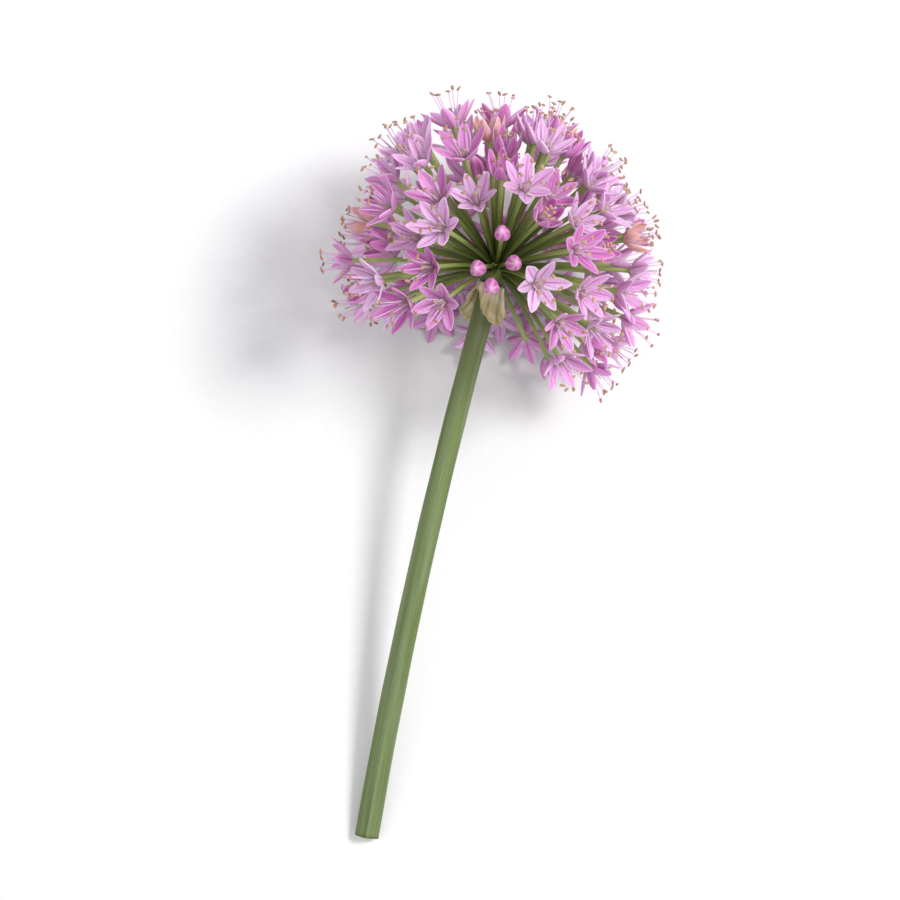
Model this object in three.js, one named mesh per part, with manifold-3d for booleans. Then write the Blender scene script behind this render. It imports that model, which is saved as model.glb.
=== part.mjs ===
// The flower head of an ornamental allium on a cut length of its stalk, lying on a flat surface.
// Millimetres, +Z up, surface at z = 0. The flower axis runs along +Y: the head is at the +Y end,
// the cut end of the stalk at the -Y end. Three bodies: the scape (stalk), the spathe (dry bract
// below the head) and the umbel (receptacle, pedicels and florets, grown together as one piece).

import * as THREE from 'three';
import { mergeVertices } from 'three/addons/utils/BufferGeometryUtils.js';
import Module from 'manifold-3d';

const wasm = await Module();
wasm.setup();

// ---- driving dimensions -------------------------------------------------------------------------

// Where the head lies and how the flower axis climbs and turns there, in degrees
const HEAD_CENTRE = new THREE.Vector3(0.3, 38.1, 25.5);
const HEAD_SLOPE = 12;
const HEAD_YAW = 3;

// Scape: a slightly two-edged stalk with an easy bend
const SCAPE_LENGTH = 112;
const SCAPE_WIDTH = 4.8; // across its two edges, at the cut end
const SCAPE_FLATNESS = 0.84; // its other diameter, as a share of the width
const SCAPE_TAPER = 0.88; // width at the neck, as a share of the width at the cut end
const SCAPE_SIDEWAYS_BEND = 6; // degrees between its two ends, seen from above
const SCAPE_REST_HEIGHT = 1.65; // middle of the cut end above the surface
const SCAPE_NECK = 2.5; // from the centre of the head down to the top of the scape
const SCAPE_SIDES = 14;
const SCAPE_STEPS = 20;

// Receptacle: the swollen top of the stalk that carries the pedicels
const RECEPTACLE_PROFILE = [ // radius, and height from the centre of the head
  [0, -2.2], [2.23, -2.2], [3.1, -0.44], [2.95, 1.04], [1.86, 2.24], [0, 2.6],
];
const RECEPTACLE_SIDES = 9;

// Umbel: florets on a golden-angle spiral over a dome that is open round the stalk
const SEED = 20; // of the small differences between florets
const FLORET_COUNT = 116; // with those that the bare side leaves out
const GOLDEN_ANGLE = 137.508;
const START_TURN = 120; // degrees round the flower axis where the spiral starts
const TOP_CROWDING = 1.12; // over 1 sets the florets closer together towards the top
const LOWEST_FLORET = 124; // degrees off the flower axis
const LOWEST_ROOT = 104; // degrees off the axis where its pedicel leaves the receptacle
const ANGLE_JITTER = 3; // degrees, either way
const REACH_TOP = 25.6; // from the centre of the head to a floret's foot, at the top
const REACH_LOWEST = 24.5; // and at the lowest florets
const REACH_JITTER = 3; // millimetres, either way
const SIZE_JITTER = 0.07; // of a floret, either way
const BARE_SIDE = [0.05, -0.6, 0.8]; // no floret here: along the head's side, axis and up
const BARE_SPREAD = 0.955; // cosine of the half angle of that side

// Pedicels: three-sided stalks on an easy curve
const PEDICEL_RADIUS = 0.5;
const PEDICEL_BEND = 0.42; // place of the bend, as a share of the reach
const ROOT_RADIUS = 2.1; // where a pedicel starts, inside the receptacle
const NEARLY_UPRIGHT = 0.9; // a floret's ring is squared to the flower axis from here, not to UP

// Ages: the youngest florets, buds on short pedicels, sit together on the upper side of the head
const YOUNG_SIDE = [0.02, 0.12, 0.99]; // along the head's side, axis and upward directions
const YOUNG_SPREAD = 0.93; // cosine of the half angle of that side
const YOUNG_REACH = 0.68; // reach of those buds, as a share of an open floret's
const YOUNG_SIZE = 0.82; // of those buds
const BUD_SHARE = 0.08; // of all other florets
const BUD_REACH = 0.88;
const HALF_OPEN_SHARE = 0.18;

// The side that lies on the surface
const TOUCH_DEPTH = 0.1; // how far what touches the surface reaches under it, to be trimmed flat
const STAMEN_CLEARANCE = 0.5; // stamens bend away from the surface at this height

// Florets: radius and height of their parts above the end of the pedicel. The mouth of a flattened
// one is level, and lies on the surface.
const TEPAL_COUNT = 6;
const OPEN = {
  keel: [3, 2.4], notch: [3, 3.4], tip: [4.9, 4.7], inside: [2.35, 2.8], stamen: [2.6, 7.8],
};
const FLATTENED = {
  keel: [2.9, 2], notch: [2.8, 3], tip: [5.2, 3], inside: [2.25, 3], stamen: [1.3, 2.3],
};
const HALF_OPEN = { keel: [2.4, 2.6], notch: [2.1, 3.6], tip: [2.8, 5.3], inside: [0, 2.6] };
const BUD = { keel: [1.95, 2.2], shoulder: [1.4, 4.1], tip: [0, 5.4] };
const FLORET_FLOOR = [0.85, 1.2];

// Spathe: a torn papery collar with two valves
const SPATHE_TOP = 2.9; // from the centre of the head down to its upper edge
const SPATHE_CLEARANCE = 0.32; // between the collar and the stalk
const SPATHE_THICKNESS = 0.6;
const SPATHE_COLLAR = 1.5; // height of the collar between the valves
const SPATHE_VALVE = 6.2; // how much further the valves hang
const SPATHE_FLARE = 0.3; // outward travel for each millimetre downwards
const SPATHE_TURN = 40; // degrees from the upward side to the middle of the first valve
const SPATHE_POINTEDNESS = 1.6; // over 1 narrows the valves towards their tips
const SPATHE_SIDES = 24;
const SPATHE_ROWS = 3;

const SURFACE_SIZE = 300; // of the block that trims what reaches under the surface
const SAME_POINT = 1e-4; // corners closer than this are one

// ---- the head's own directions ------------------------------------------------------------------

const radians = THREE.MathUtils.degToRad;
const UP = new THREE.Vector3(0, 0, 1);

function heading(slope, yaw) {
  const level = Math.cos(slope);
  return new THREE.Vector3(level * Math.sin(yaw), level * Math.cos(yaw), Math.sin(slope));
}

const headAxis = heading(radians(HEAD_SLOPE), radians(HEAD_YAW));
const headSide = headAxis.clone().cross(UP).normalize();
const headUp = headSide.clone().cross(headAxis);
const headFrame = new THREE.Matrix4()
  .makeBasis(headSide, headAxis, headUp)
  .setPosition(HEAD_CENTRE);

// A direction from the head's centre, by its angle off the flower axis and its turn about it
function directionAt(offAxis, turn) {
  return new THREE.Vector3()
    .addScaledVector(headAxis, Math.cos(offAxis))
    .addScaledVector(headSide, Math.sin(offAxis) * Math.cos(turn))
    .addScaledVector(headUp, Math.sin(offAxis) * Math.sin(turn));
}

// ---- closed geometry to solids and back ---------------------------------------------------------

function toSolid(geometry) {
  const bare = new THREE.BufferGeometry();
  bare.setAttribute('position', geometry.attributes.position);
  bare.setIndex(geometry.index);
  const merged = mergeVertices(bare, SAME_POINT);
  return new wasm.Manifold(new wasm.Mesh({
    numProp: 3,
    vertProperties: new Float32Array(merged.attributes.position.array),
    triVerts: new Uint32Array(merged.index.array),
  }));
}

function toMesh(name, solid, colour, roughness) {
  const { vertProperties, triVerts } = solid.getMesh();
  const geometry = new THREE.BufferGeometry();
  geometry.setAttribute('position', new THREE.BufferAttribute(vertProperties, 3));
  geometry.setIndex(new THREE.BufferAttribute(triVerts, 1));
  const material = new THREE.MeshStandardMaterial({ color: colour, roughness, metalness: 0 });
  const mesh = new THREE.Mesh(geometry, material);
  mesh.name = name;
  return mesh;
}

// Everything under the surface is cut away, which leaves a small flat spot where a piece touches
function trimAtSurface(solid) {
  const block = new THREE.BoxGeometry(SURFACE_SIZE, SURFACE_SIZE, SURFACE_SIZE);
  block.translate(0, 0, -SURFACE_SIZE / 2);
  return solid.subtract(toSolid(block));
}

// A profile of radii and heights turned round the upright axis
function turnProfile(profile, sides) {
  const points = profile.map(([radius, height]) => new THREE.Vector2(radius, height));
  return new THREE.LatheGeometry(points, sides);
}

// ---- scape --------------------------------------------------------------------------------------

function scapeCurve() {
  const half = SCAPE_LENGTH / 2;
  const neck = HEAD_CENTRE.clone().addScaledVector(headAxis, -SCAPE_NECK);
  const bend = neck.clone().addScaledVector(headAxis, -half);
  const cutSlope = Math.asin((bend.z - SCAPE_REST_HEIGHT) / half);
  const cutHeading = heading(cutSlope, radians(HEAD_YAW - SCAPE_SIDEWAYS_BEND));
  const cutEnd = bend.clone().addScaledVector(cutHeading, -half);
  return new THREE.QuadraticBezierCurve3(cutEnd, bend, neck);
}

// A straight tapered blank whose rings are set square on the stalk's curve
function scapeSolid() {
  const curve = scapeCurve();
  const widest = SCAPE_WIDTH / 2;
  const blank = new THREE.CylinderGeometry(
    widest * SCAPE_TAPER, widest, SCAPE_LENGTH, SCAPE_SIDES, SCAPE_STEPS,
  );
  const position = blank.attributes.position;
  for (let i = 0; i < position.count; i += 1) {
    const along = THREE.MathUtils.clamp(position.getY(i) / SCAPE_LENGTH + 0.5, 0, 1);
    const tangent = curve.getTangent(along);
    const side = tangent.clone().cross(UP).normalize();
    const up = side.clone().cross(tangent);
    const point = curve.getPoint(along)
      .addScaledVector(side, position.getX(i))
      .addScaledVector(up, position.getZ(i) * SCAPE_FLATNESS);
    position.setXYZ(i, point.x, point.y, point.z);
  }
  return trimAtSurface(toSolid(blank));
}

// ---- spathe -------------------------------------------------------------------------------------

// A ring turned round the flower axis, with its lower edge drawn down into two ragged valves. The
// profile's height is first the share of the way down, and then the real drop on that side.
function spatheSolid() {
  const inner = (SCAPE_WIDTH * SCAPE_TAPER) / 2 + SPATHE_CLEARANCE;
  const profile = [];
  for (let row = 0; row <= SPATHE_ROWS; row += 1) profile.push([inner, -row / SPATHE_ROWS]);
  for (let row = SPATHE_ROWS; row >= 0; row -= 1) {
    profile.push([inner + SPATHE_THICKNESS, -row / SPATHE_ROWS]);
  }
  const ring = turnProfile([...profile, profile[0]], SPATHE_SIDES);
  const position = ring.attributes.position;
  for (let i = 0; i < position.count; i += 1) {
    const turn = Math.atan2(position.getX(i), position.getZ(i));
    const valve = Math.abs(Math.cos(turn - radians(SPATHE_TURN))) ** SPATHE_POINTEDNESS;
    const share = -position.getY(i);
    const drop = share * (SPATHE_COLLAR + SPATHE_VALVE * valve);
    const flared = Math.hypot(position.getX(i), position.getZ(i)) + SPATHE_FLARE * drop * share;
    position.setXYZ(i, flared * Math.sin(turn), -SPATHE_TOP - drop, flared * Math.cos(turn));
  }
  ring.applyMatrix4(headFrame);
  return toSolid(ring);
}

// ---- umbel: where each floret stands ------------------------------------------------------------

function receptacleSolid() {
  const turned = turnProfile(RECEPTACLE_PROFILE, RECEPTACLE_SIDES);
  turned.applyMatrix4(headFrame);
  return toSolid(turned);
}

// A repeatable stream of numbers from 0 to 1
function randomStream(seed) {
  let state = seed;
  return () => {
    state = (state * 1664525 + 1013904223) % 4294967296;
    return state / 4294967296;
  };
}

// A pedicel's curve from the receptacle, past its bend, to the foot of its floret
function pedicelCurve(rootDirection, bend, foot) {
  const root = HEAD_CENTRE.clone().addScaledVector(rootDirection, ROOT_RADIUS);
  return new THREE.QuadraticBezierCurve3(root, bend, foot);
}

// Whether a floret with this foot and axis would reach into the surface
function reachesSurface(foot, axis, [radius, height]) {
  const lowest = foot.z + height * axis.z - radius * Math.sqrt(1 - axis.z * axis.z);
  return lowest < -TOUCH_DEPTH;
}

// The axis of a flattened floret: its mouth is level on the surface where its foot is low enough.
// Elsewhere it leans outwards until its lowest tepal touches, but no more than an open one would.
function flattenedAxis(foot, openAxis) {
  const [radius, height] = FLATTENED.tip;
  const outward = foot.clone().sub(HEAD_CENTRE).setZ(0).normalize();
  const drop = Math.min(1, (foot.z + TOUCH_DEPTH) / Math.hypot(radius, height));
  const touching = Math.asin(drop) - Math.atan2(height, radius);
  const lean = Math.min(touching, Math.acos(-openAxis.z));
  return outward.multiplyScalar(Math.sin(lean)).addScaledVector(UP, -Math.cos(lean));
}

// Whether a direction points to a side of the head, given along the head's own directions
function pointsTo(direction, [aside, along, upward], spread) {
  const middle = new THREE.Vector3()
    .addScaledVector(headSide, aside)
    .addScaledVector(headAxis, along)
    .addScaledVector(headUp, upward)
    .normalize();
  return direction.dot(middle) > spread;
}

// All florets, with their pedicel, kind, turn about their own axis and size
function florets() {
  const random = randomStream(SEED);
  const either = (amount) => amount * (2 * random() - 1);
  const cosLowest = Math.cos(radians(LOWEST_FLORET));
  const placed = [];
  for (let i = 0; i < FLORET_COUNT; i += 1) {
    const covered = ((i + 0.5) / FLORET_COUNT) ** TOP_CROWDING;
    const even = Math.acos(1 - covered * (1 - cosLowest));
    const offAxis = Math.abs(even + radians(either(ANGLE_JITTER)));
    const spiral = radians(START_TURN + i * GOLDEN_ANGLE);
    const turn = spiral + radians(either(ANGLE_JITTER)) / Math.sin(even);
    const direction = directionAt(offAxis, turn);
    if (pointsTo(direction, BARE_SIDE, BARE_SPREAD)) continue;

    const rootDirection = directionAt((offAxis * LOWEST_ROOT) / LOWEST_FLORET, turn);
    const isYoung = pointsTo(direction, YOUNG_SIDE, YOUNG_SPREAD);
    const age = random();
    let kind = OPEN;
    if (isYoung || age < BUD_SHARE) kind = BUD;
    else if (age < BUD_SHARE + HALF_OPEN_SHARE) kind = HALF_OPEN;

    let reach = REACH_TOP + (REACH_LOWEST - REACH_TOP) * covered + either(REACH_JITTER);
    if (isYoung) reach *= YOUNG_REACH;
    else if (kind === BUD) reach *= BUD_REACH;
    const foot = HEAD_CENTRE.clone().addScaledVector(direction, reach);
    const halfway = direction.clone().add(rootDirection).normalize();
    const bend = HEAD_CENTRE.clone().addScaledVector(halfway, PEDICEL_BEND * reach);
    const axis = foot.clone().sub(bend).normalize();
    let size = 1 + either(SIZE_JITTER);
    if (isYoung) size *= YOUNG_SIZE;
    if (reachesSurface(foot, axis, kind.tip)) {
      kind = FLATTENED;
      size = 1;
      foot.z = Math.max(foot.z, FLATTENED.tip[1] - TOUCH_DEPTH);
      bend.copy(foot).addScaledVector(flattenedAxis(foot, axis), -(1 - PEDICEL_BEND) * reach);
    }
    const curve = pedicelCurve(rootDirection, bend, foot);
    placed.push({ curve, kind, size, turn: random() * radians(360 / TEPAL_COUNT) });
  }
  return placed;
}

// ---- umbel: one floret with its pedicel, as one closed skin -------------------------------------

// The triangles between two neighbouring rings of a skin, as a list of their corners. Both rings
// run anticlockwise seen from the floret's mouth, and the second may have as many points as the
// first, twice as many, half as many, or be one point.
function joinRings(first, second) {
  const at = (ring, i) => ring[i % ring.length];
  if (second.length === 1) {
    return first.flatMap((point, i) => [point, at(first, i + 1), second[0]]);
  }
  const triangles = [];
  for (let i = 0; i < Math.min(first.length, second.length); i += 1) {
    if (second.length === first.length) {
      triangles.push(at(first, i), at(first, i + 1), at(second, i + 1));
      triangles.push(at(first, i), at(second, i + 1), at(second, i));
    } else if (second.length > first.length) {
      triangles.push(at(first, i), at(second, 2 * i + 1), at(second, 2 * i));
      triangles.push(at(first, i), at(first, i + 1), at(second, 2 * i + 1));
      triangles.push(at(first, i + 1), at(second, 2 * i + 2), at(second, 2 * i + 1));
    } else {
      triangles.push(at(first, 2 * i), at(first, 2 * i + 1), at(second, i));
      triangles.push(at(first, 2 * i + 1), at(second, i + 1), at(second, i));
      triangles.push(at(first, 2 * i + 1), at(first, 2 * i + 2), at(second, i + 1));
    }
  }
  return triangles;
}

// A ring of points about a place on the pedicel: radii and heights repeat round the ring
function ringAbout(place, axis, across, spots, count, turn) {
  const other = axis.clone().cross(across);
  return Array.from({ length: count }, (_, i) => {
    const [radius, height] = spots[i % spots.length];
    const angle = turn + (2 * Math.PI * i) / count;
    return place.clone()
      .addScaledVector(axis, height)
      .addScaledVector(across, radius * Math.cos(angle))
      .addScaledVector(other, radius * Math.sin(angle));
  });
}

function squareTo(axis) {
  return axis.clone().cross(Math.abs(axis.z) < NEARLY_UPRIGHT ? UP : headAxis).normalize();
}

function floretGeometry({ curve, kind, turn, size }) {
  const axis = curve.getTangent(1);
  const foot = curve.getPoint(1);
  const across = squareTo(axis);
  const grown = ([radius, height]) => [radius * size, height * size];
  const ring = (spots, count) => ringAbout(foot, axis, across, spots.map(grown), count, turn);

  // pedicel, from its root
  const skin = [];
  for (const along of [0, 0.5, 1]) {
    const tangent = curve.getTangent(along);
    const level = across.clone().addScaledVector(tangent, -across.dot(tangent)).normalize();
    const spots = [[PEDICEL_RADIUS, 0]];
    skin.push(ringAbout(curve.getPoint(along), tangent, level, spots, TEPAL_COUNT / 2, turn));
  }

  // outside, up to the tepal tips
  skin.push(ring([kind.keel], TEPAL_COUNT));
  if (kind === BUD) {
    skin.push(ring([kind.shoulder], TEPAL_COUNT));
    skin.push(ring([kind.tip], 1));
  } else {
    skin.push(ring([kind.tip, kind.notch], 2 * TEPAL_COUNT));
  }

  // inside, back down to the floor
  if (kind === HALF_OPEN) {
    skin.push(ring([kind.inside], 1));
  } else if (kind !== BUD) {
    skin.push(ring([kind.inside], TEPAL_COUNT));
    skin.push(ring([FLORET_FLOOR], TEPAL_COUNT / 2));
  }

  const [first, second, third] = skin[0];
  const corners = [first, third, second];
  for (let i = 0; i + 1 < skin.length; i += 1) corners.push(...joinRings(skin[i], skin[i + 1]));
  if (kind.stamen) corners.push(...stamens(skin[skin.length - 1], ring, kind.stamen));

  const geometry = new THREE.BufferGeometry();
  const numbers = corners.flatMap((point) => [point.x, point.y, point.z]);
  geometry.setAttribute('position', new THREE.Float32BufferAttribute(numbers, 3));
  return geometry;
}

// The floor of an open floret rises into three spikes, which lean outwards
function stamens(floor, ring, spot) {
  const [middle] = ring([[0, FLORET_FLOOR[1]]], 1);
  const tips = ring([spot], TEPAL_COUNT).filter((_, i) => i % 2 === 1);
  return floor.flatMap((point, i) => {
    const next = floor[(i + 1) % floor.length];
    const tip = tips[i];
    tip.z = Math.max(tip.z, STAMEN_CLEARANCE);
    return [point, next, tip, next, middle, tip, middle, point, tip];
  });
}

// The largest body of a solid: hollows that joining sealed are filled, and loose scraps dropped
function mainBody(solid) {
  const bodies = solid.decompose();
  return bodies.reduce((main, body) => (body.volume() > main.volume() ? body : main));
}

function umbelSolid() {
  let umbel = receptacleSolid();
  for (const floret of florets()) umbel = umbel.add(toSolid(floretGeometry(floret)));
  return mainBody(trimAtSurface(umbel));
}

// ---- the flower ---------------------------------------------------------------------------------

const flower = new THREE.Group();
flower.add(toMesh('scape', scapeSolid(), '#7b9a58', 0.55));
flower.add(toMesh('spathe', spatheSolid(), '#cdb994', 0.8));
flower.add(toMesh('umbel', umbelSolid(), '#ce92b9', 0.6));

export default flower;
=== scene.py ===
# %% [markdown]
# # An allium flower head, picked and laid down
#
# The object is one flower head of an ornamental allium: an open dome of star-shaped florets,
# each on its own thin pedicel, on top of a green stem (the scape). It lies on a surface, and the
# camera looks down on it.
#
# A plain model comes first and is never moved or resized. It could be subdivided and sculpted,
# but its skins are one faceted body. So the same rule that set its florets in place is worked out
# again here, and thin tepals, stamens, ribs and veins are made at those places.

# %% Load the plain model
import functools
import math
import random

import bpy
import mathutils
import numpy as np
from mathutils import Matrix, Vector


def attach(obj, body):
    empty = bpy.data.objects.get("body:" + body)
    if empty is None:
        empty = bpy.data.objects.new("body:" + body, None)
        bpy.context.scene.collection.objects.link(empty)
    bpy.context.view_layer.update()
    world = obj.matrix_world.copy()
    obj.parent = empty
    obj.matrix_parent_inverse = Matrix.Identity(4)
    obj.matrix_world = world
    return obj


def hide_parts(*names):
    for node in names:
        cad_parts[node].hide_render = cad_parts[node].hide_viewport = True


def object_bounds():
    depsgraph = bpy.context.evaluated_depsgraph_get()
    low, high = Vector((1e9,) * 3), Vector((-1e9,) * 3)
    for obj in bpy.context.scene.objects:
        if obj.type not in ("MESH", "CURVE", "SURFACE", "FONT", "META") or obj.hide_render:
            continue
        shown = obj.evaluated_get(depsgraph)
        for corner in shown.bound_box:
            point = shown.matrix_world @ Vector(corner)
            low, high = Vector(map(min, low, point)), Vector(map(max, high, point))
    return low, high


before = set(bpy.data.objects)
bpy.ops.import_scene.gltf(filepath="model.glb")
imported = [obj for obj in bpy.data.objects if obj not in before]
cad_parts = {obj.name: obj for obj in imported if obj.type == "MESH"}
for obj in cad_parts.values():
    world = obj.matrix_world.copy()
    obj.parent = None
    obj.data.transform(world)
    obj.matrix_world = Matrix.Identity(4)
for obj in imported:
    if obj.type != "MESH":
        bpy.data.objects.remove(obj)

MM = 0.001  # metres in a millimetre: shapes below are worked out in millimetres
plain_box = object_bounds()
print("plain model, mm:", [round(edge / MM, 1) for corner in plain_box for edge in corner])

# %% [markdown]
# ## Directions of the head
#
# The flower axis runs along the surface and climbs a little, because the dome of florets is
# thicker than the stem. Three directions belong to the head: along its axis, to its side, and
# upward. Every floret is placed by its angle off the axis and its turn round it, which keeps the
# whole head in one rule.

# %% Directions of the head
HEAD_CENTRE = np.array([0.3, 38.1, 25.5])
HEAD_SLOPE = 12  # degrees that the axis climbs
HEAD_YAW = 3  # degrees that it turns away from +Y
UP = np.array([0.0, 0.0, 1.0])


def unit(vector):
    return vector / np.linalg.norm(vector, axis=-1, keepdims=True)


def heading(slope, yaw):
    level = math.cos(slope)
    return np.array([level * math.sin(yaw), level * math.cos(yaw), math.sin(slope)])


head_axis = heading(math.radians(HEAD_SLOPE), math.radians(HEAD_YAW))
head_side = unit(np.cross(head_axis, UP))
head_up = np.cross(head_side, head_axis)


def direction_at(off_axis, turn):
    sideways = head_side * math.cos(turn) + head_up * math.sin(turn)
    return head_axis * math.cos(off_axis) + sideways * math.sin(off_axis)


print("flower axis:", head_axis.round(3))

# %% [markdown]
# ## Where each floret stands
#
# Florets open on a golden-angle spiral, the way most heads pack their parts. They could be
# scattered at random over a sphere, but then some would bunch and others leave holes. The spiral
# fills the dome evenly, and seeded differences in angle, reach and size take the machine look
# away. The upward side has the youngest florets, small buds on short pedicels, and below them a
# bare place shows the neck of the stem. The draws are the ones that the plain model makes, in
# the same order.

# %% Sizes and shares that place the florets
SEED = 20
FLORET_COUNT = 116
GOLDEN_ANGLE = math.radians(137.508)
START_TURN = math.radians(120)
TOP_CROWDING = 1.12
LOWEST_FLORET = math.radians(124)
LOWEST_ROOT = math.radians(104)
ANGLE_JITTER = math.radians(3)
REACH_TOP, REACH_LOWEST, REACH_JITTER = 25.6, 24.5, 3
SIZE_JITTER = 0.07
ROOT_RADIUS = 2.1  # where a pedicel starts, inside the receptacle
PEDICEL_BEND = 0.42  # place of its bend, as a share of the reach
BARE_SIDE, BARE_SPREAD = (0.05, -0.6, 0.8), 0.955  # along side, axis and up
YOUNG_SIDE, YOUNG_SPREAD, YOUNG_REACH, YOUNG_SIZE = (0.02, 0.12, 0.99), 0.93, 0.68, 0.82
BUD_SHARE, BUD_REACH, HALF_OPEN_SHARE = 0.08, 0.88, 0.18
TOUCH_DEPTH = 0.1
TIPS = {"open": (4.9, 4.7), "half open": (2.8, 5.3), "bud": (0, 5.4)}  # radius, height
FLATTENED_TIP = (5.2, 3)


def number_stream(state):
    while True:
        state = (state * 1664525 + 1013904223) % 4294967296
        yield state / 4294967296


print("dome of florets, mm across:", 2 * (REACH_TOP + TIPS["open"][1]))

# %% [markdown]
# A floret that would reach into the surface is pressed flat on it. Its mouth turns down and its
# tepals spread, as they do under the weight of the head.

# %% Turn a pressed floret to the surface


def reaches_surface(foot, axis, tip):
    radius, height = tip
    lowest = foot[2] + height * axis[2] - radius * math.sqrt(1 - axis[2] ** 2)
    return lowest < -TOUCH_DEPTH


def flattened_axis(foot, open_axis):
    radius, height = FLATTENED_TIP
    outward = unit((foot - HEAD_CENTRE) * (1, 1, 0))
    drop = min(1, (foot[2] + TOUCH_DEPTH) / math.hypot(radius, height))
    touching = math.asin(drop) - math.atan2(height, radius)
    lean = min(touching, math.acos(-open_axis[2]))
    return outward * math.sin(lean) - UP * math.cos(lean)


# %% Place the florets


def points_to(direction, side, spread):
    """Whether a direction is near a side of the head, given along side, axis and up."""
    return direction @ unit(np.array(side) @ np.array([head_side, head_axis, head_up])) > spread


def place_florets():
    stream = number_stream(SEED)

    def either(amount):
        return amount * (2 * next(stream) - 1)

    cos_lowest = math.cos(LOWEST_FLORET)
    placed = []
    for i in range(FLORET_COUNT):
        covered = ((i + 0.5) / FLORET_COUNT) ** TOP_CROWDING
        even = math.acos(1 - covered * (1 - cos_lowest))
        off_axis = abs(even + either(ANGLE_JITTER))
        turn = START_TURN + i * GOLDEN_ANGLE + either(ANGLE_JITTER) / math.sin(even)
        direction = direction_at(off_axis, turn)
        if points_to(direction, BARE_SIDE, BARE_SPREAD):
            continue
        root_direction = direction_at(off_axis * LOWEST_ROOT / LOWEST_FLORET, turn)
        is_young = points_to(direction, YOUNG_SIDE, YOUNG_SPREAD)
        age = next(stream)
        kind = "open"
        if is_young or age < BUD_SHARE:
            kind = "bud"
        elif age < BUD_SHARE + HALF_OPEN_SHARE:
            kind = "half open"
        reach = REACH_TOP + (REACH_LOWEST - REACH_TOP) * covered + either(REACH_JITTER)
        if is_young:
            reach *= YOUNG_REACH
        elif kind == "bud":
            reach *= BUD_REACH
        foot = HEAD_CENTRE + direction * reach
        bend = HEAD_CENTRE + unit(direction + root_direction) * PEDICEL_BEND * reach
        axis = unit(foot - bend)
        size = (1 + either(SIZE_JITTER)) * (YOUNG_SIZE if is_young else 1)
        if reaches_surface(foot, axis, TIPS[kind]):
            kind, size = "flattened", 1
            foot[2] = max(foot[2], FLATTENED_TIP[1] - TOUCH_DEPTH)
            bend = foot - flattened_axis(foot, axis) * (1 - PEDICEL_BEND) * reach
            axis = unit(foot - bend)
        root = HEAD_CENTRE + root_direction * ROOT_RADIUS
        across = unit(np.cross(axis, UP if abs(axis[2]) < 0.9 else head_axis))
        placed.append({
            "kind": kind, "age": age, "young": is_young, "size": size, "foot": foot,
            "curve": (root, bend, foot), "turn": next(stream) * math.radians(60),
            "frame": np.array([across, np.cross(axis, across), axis]),
        })
    return placed


florets = place_florets()
for kind in ("open", "half open", "bud", "flattened"):
    print(kind, "florets:", sum(floret["kind"] == kind for floret in florets))

# %% [markdown]
# ## One way to make every skin
#
# A pedicel, a filament, a bud and a tepal look different, but each can be made as a skin over
# rings of points, closed at both ends. A tepal's ring is a flat lens: along its inner face and
# back along its outer face. Curves with a bevel would make the round ones and a solidified plane
# the flat ones, but one way for all gives closed meshes with an even grid of faces.
#
# Each skin also gets its place on a chart, a map cut into cells. Across a cell goes the way round
# the skin, and up the cell goes the way along it. The finishes read veins, keels and ripeness
# from that chart, so the pattern follows the form, and a picture can be made through it.

# %% A skin over rings of points
CHART = "OFBake"  # the name of the chart, through which a picture of a finish can be made
CELL_MARGIN = 0.04  # share of a cell that stays empty on each side


@functools.cache
def skin_pattern(rings, sides):
    """Faces over rings of points, and each face corner's share of the way round and along."""
    start, end = rings * sides, rings * sides + 1
    faces, places = [], []
    for side in range(sides):
        after = (side + 1) % sides
        left, right, middle = side / sides, (side + 1) / sides, (side + 0.5) / sides
        for ring in range(rings - 1):
            low, high = ring * sides, (ring + 1) * sides
            faces.append([low + side, low + after, high + after, high + side])
            below, above = (ring + 1) / (rings + 1), (ring + 2) / (rings + 1)
            places += [(left, below), (right, below), (right, above), (left, above)]
        faces.append([start, after, side])
        places += [(middle, 0), (right, 1 / (rings + 1)), (left, 1 / (rings + 1))]
        last, edge = (rings - 1) * sides, rings / (rings + 1)
        faces.append([last + side, last + after, end])
        places += [(left, edge), (right, edge), (middle, 1)]
    return faces, np.array(places)


def in_scene(name, data):
    """Puts a mesh, a lamp or a camera into the scene."""
    made = bpy.data.objects.new(name, data)
    bpy.context.scene.collection.objects.link(made)
    return made


class Skins:
    """Skins on their way to becoming one piece, on a chart of columns by rows of cells."""

    def __init__(self, columns=1, rows=1):
        self.cells = np.array([columns, rows])
        self.points, self.faces, self.places, self.count = [], [], [], 0

    def add(self, rings, start=None, end=None, cell=(0, 0)):
        """rings is rings by sides by 3. start and end close it, or else its end rings' middles."""
        faces, places = skin_pattern(*rings.shape[:2])
        start = rings[0].mean(axis=0) if start is None else start
        end = rings[-1].mean(axis=0) if end is None else end
        self.points += [rings.reshape(-1, 3), [start, end]]
        self.faces += [[corner + self.count for corner in face] for face in faces]
        inset = CELL_MARGIN + (1 - 2 * CELL_MARGIN) * places
        self.places.append((inset + cell) / self.cells)
        self.count += rings.shape[0] * rings.shape[1] + 2

    def piece(self, name, material, slot, *nodes):
        """Makes the skins one piece that stands for these nodes of the plain model."""
        mesh = bpy.data.meshes.new(name)
        mesh.from_pydata(np.concatenate(self.points) * MM, [], self.faces)
        chart = mesh.uv_layers.new(name=CHART)
        chart.uv.foreach_set("vector", np.concatenate(self.places).ravel())
        mesh.shade_smooth()
        mesh.materials.append(material)
        made = in_scene(name, mesh)
        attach(made, "root")
        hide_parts(*nodes)
        print(name, "faces:", len(mesh.polygons), "mm:", (np.array(made.dimensions) / MM).round(1))


# %% [markdown]
# ## Finishes are written with one helper
#
# A finish is a small tree of nodes. The helper adds one node, sets what it is given and links
# the rest. Colours are written as they would be picked from a picture (sRGB), and turned to the
# linear numbers that a renderer adds up.

# %% One node, one colour


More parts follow.
